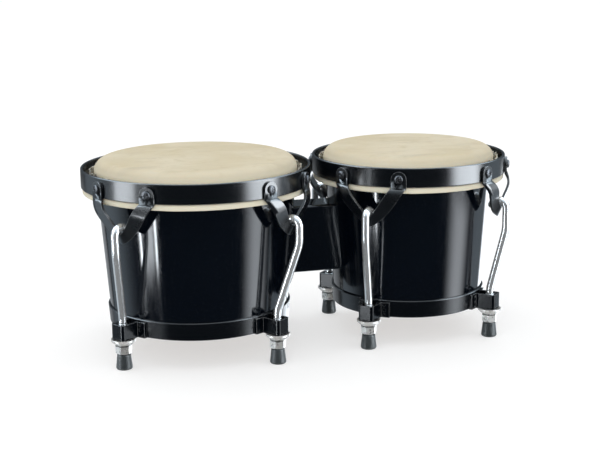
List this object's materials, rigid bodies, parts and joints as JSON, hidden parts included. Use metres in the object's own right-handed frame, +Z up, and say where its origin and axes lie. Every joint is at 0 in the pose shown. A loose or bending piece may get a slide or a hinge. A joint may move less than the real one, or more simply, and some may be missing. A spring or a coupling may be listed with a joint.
{
  "type": "bongo drums",
  "caption": "Bongo drums: a larger and a smaller tapered drum joined by a centre block, with hide heads pulled tight by hooked rods and nuts.",
  "frame": {"origin": "on the floor under the rubber tips, at the middle of the overall length and depth", "axes": "+X from the large drum towards the small drum, +Z up, the front towards -Y"},
  "size_m": [0.4138, 0.216, 0.1848],
  "materials": {
    "black_lacquer": "high gloss black lacquer",
    "black_steel": "semi-gloss black powder coat",
    "black_screw": "black plated",
    "plated_steel": "zinc plated",
    "chrome_rod": "polished",
    "hide": "dry natural hide",
    "rubber": "moulded matte"
  },
  "bodies": {
    "base": {"centre_block": "black_lacquer", "block_bolts": "plated_steel", "block_bolt_washers": "plated_steel", "block_bolt_nuts": "plated_steel", "large_shell": "black_lacquer", "large_bottom_ring": "black_steel", "large_lug_brackets": "black_steel", "large_cup_washers": "plated_steel", "large_skin": "hide", "small_shell": "black_lacquer", "small_bottom_ring": "black_steel", "small_lug_brackets": "black_steel", "small_cup_washers": "plated_steel", "small_skin": "hide"},
    "large_head": {"large_rim": "black_steel", "large_yoke_1": "black_steel", "large_yoke_2": "black_steel", "large_yoke_3": "black_steel", "large_yoke_4": "black_steel", "large_yoke_screws": "black_screw", "large_flesh_hoop": "plated_steel", "large_skin_tuck": "hide", "large_rod_1": "chrome_rod", "large_rod_2": "chrome_rod", "large_rod_3": "chrome_rod", "large_rod_4": "chrome_rod", "large_rubber_feet": "rubber"},
    "large_nut_1": {"large_nut_1": "plated_steel"},
    "large_nut_2": {"large_nut_2": "plated_steel"},
    "large_nut_3": {"large_nut_3": "plated_steel"},
    "large_nut_4": {"large_nut_4": "plated_steel"},
    "small_head": {"small_rim": "black_steel", "small_yoke_1": "black_steel", "small_yoke_2": "black_steel", "small_yoke_3": "black_steel", "small_yoke_4": "black_steel", "small_yoke_screws": "black_screw", "small_flesh_hoop": "plated_steel", "small_skin_tuck": "hide", "small_rod_1": "chrome_rod", "small_rod_2": "chrome_rod", "small_rod_3": "chrome_rod", "small_rod_4": "chrome_rod", "small_rubber_feet": "rubber"},
    "small_nut_1": {"small_nut_1": "plated_steel"},
    "small_nut_2": {"small_nut_2": "plated_steel"},
    "small_nut_3": {"small_nut_3": "plated_steel"},
    "small_nut_4": {"small_nut_4": "plated_steel"}
  },
  "joints": [
    {"name": "large_tuning", "type": "slide", "parent": "base", "child": "large_head", "axis": [0, 0, 1], "range_m": [-0.006, 0.0007]},
    {"name": "large_nut_1_turn", "type": "hinge", "parent": "base", "child": "large_nut_1", "pos_m": [-0.18044, -0.05727, 0.02], "axis": [0, 0, 1], "range_deg": [-202, 1729]},
    {"name": "large_nut_2_turn", "type": "hinge", "parent": "base", "child": "large_nut_2", "pos_m": [-0.04168, -0.08149, 0.02], "axis": [0, 0, 1], "range_deg": [-202, 1729]},
    {"name": "large_nut_3_turn", "type": "hinge", "parent": "base", "child": "large_nut_3", "pos_m": [-0.01746, 0.05727, 0.02], "axis": [0, 0, 1], "range_deg": [-202, 1729]},
    {"name": "large_nut_4_turn", "type": "hinge", "parent": "base", "child": "large_nut_4", "pos_m": [-0.15622, 0.08149, 0.02], "axis": [0, 0, 1], "range_deg": [-202, 1729]},
    {"name": "small_tuning", "type": "slide", "parent": "base", "child": "small_head", "axis": [0, 0, 1], "range_m": [-0.006, 0.0007]},
    {"name": "small_nut_1_turn", "type": "hinge", "parent": "base", "child": "small_nut_1", "pos_m": [0.0516, -0.06412, 0.02], "axis": [0, 0, 1], "range_deg": [-202, 1729]},
    {"name": "small_nut_2_turn", "type": "hinge", "parent": "base", "child": "small_nut_2", "pos_m": [0.17657, -0.06085, 0.02], "axis": [0, 0, 1], "range_deg": [-202, 1729]},
    {"name": "small_nut_3_turn", "type": "hinge", "parent": "base", "child": "small_nut_3", "pos_m": [0.1733, 0.06412, 0.02], "axis": [0, 0, 1], "range_deg": [-202, 1729]},
    {"name": "small_nut_4_turn", "type": "hinge", "parent": "base", "child": "small_nut_4", "pos_m": [0.04833, 0.06085, 0.02], "axis": [0, 0, 1], "range_deg": [-202, 1729]}
  ],
  "couplings": [
    {"joint": "large_nut_1_turn", "follows": "large_tuning", "rad_per_m": -5026.5},
    {"joint": "large_nut_2_turn", "follows": "large_tuning", "rad_per_m": -5026.5},
    {"joint": "large_nut_3_turn", "follows": "large_tuning", "rad_per_m": -5026.5},
    {"joint": "large_nut_4_turn", "follows": "large_tuning", "rad_per_m": -5026.5},
    {"joint": "small_nut_1_turn", "follows": "small_tuning", "rad_per_m": -5026.5},
    {"joint": "small_nut_2_turn", "follows": "small_tuning", "rad_per_m": -5026.5},
    {"joint": "small_nut_3_turn", "follows": "small_tuning", "rad_per_m": -5026.5},
    {"joint": "small_nut_4_turn", "follows": "small_tuning", "rad_per_m": -5026.5}
  ]
}
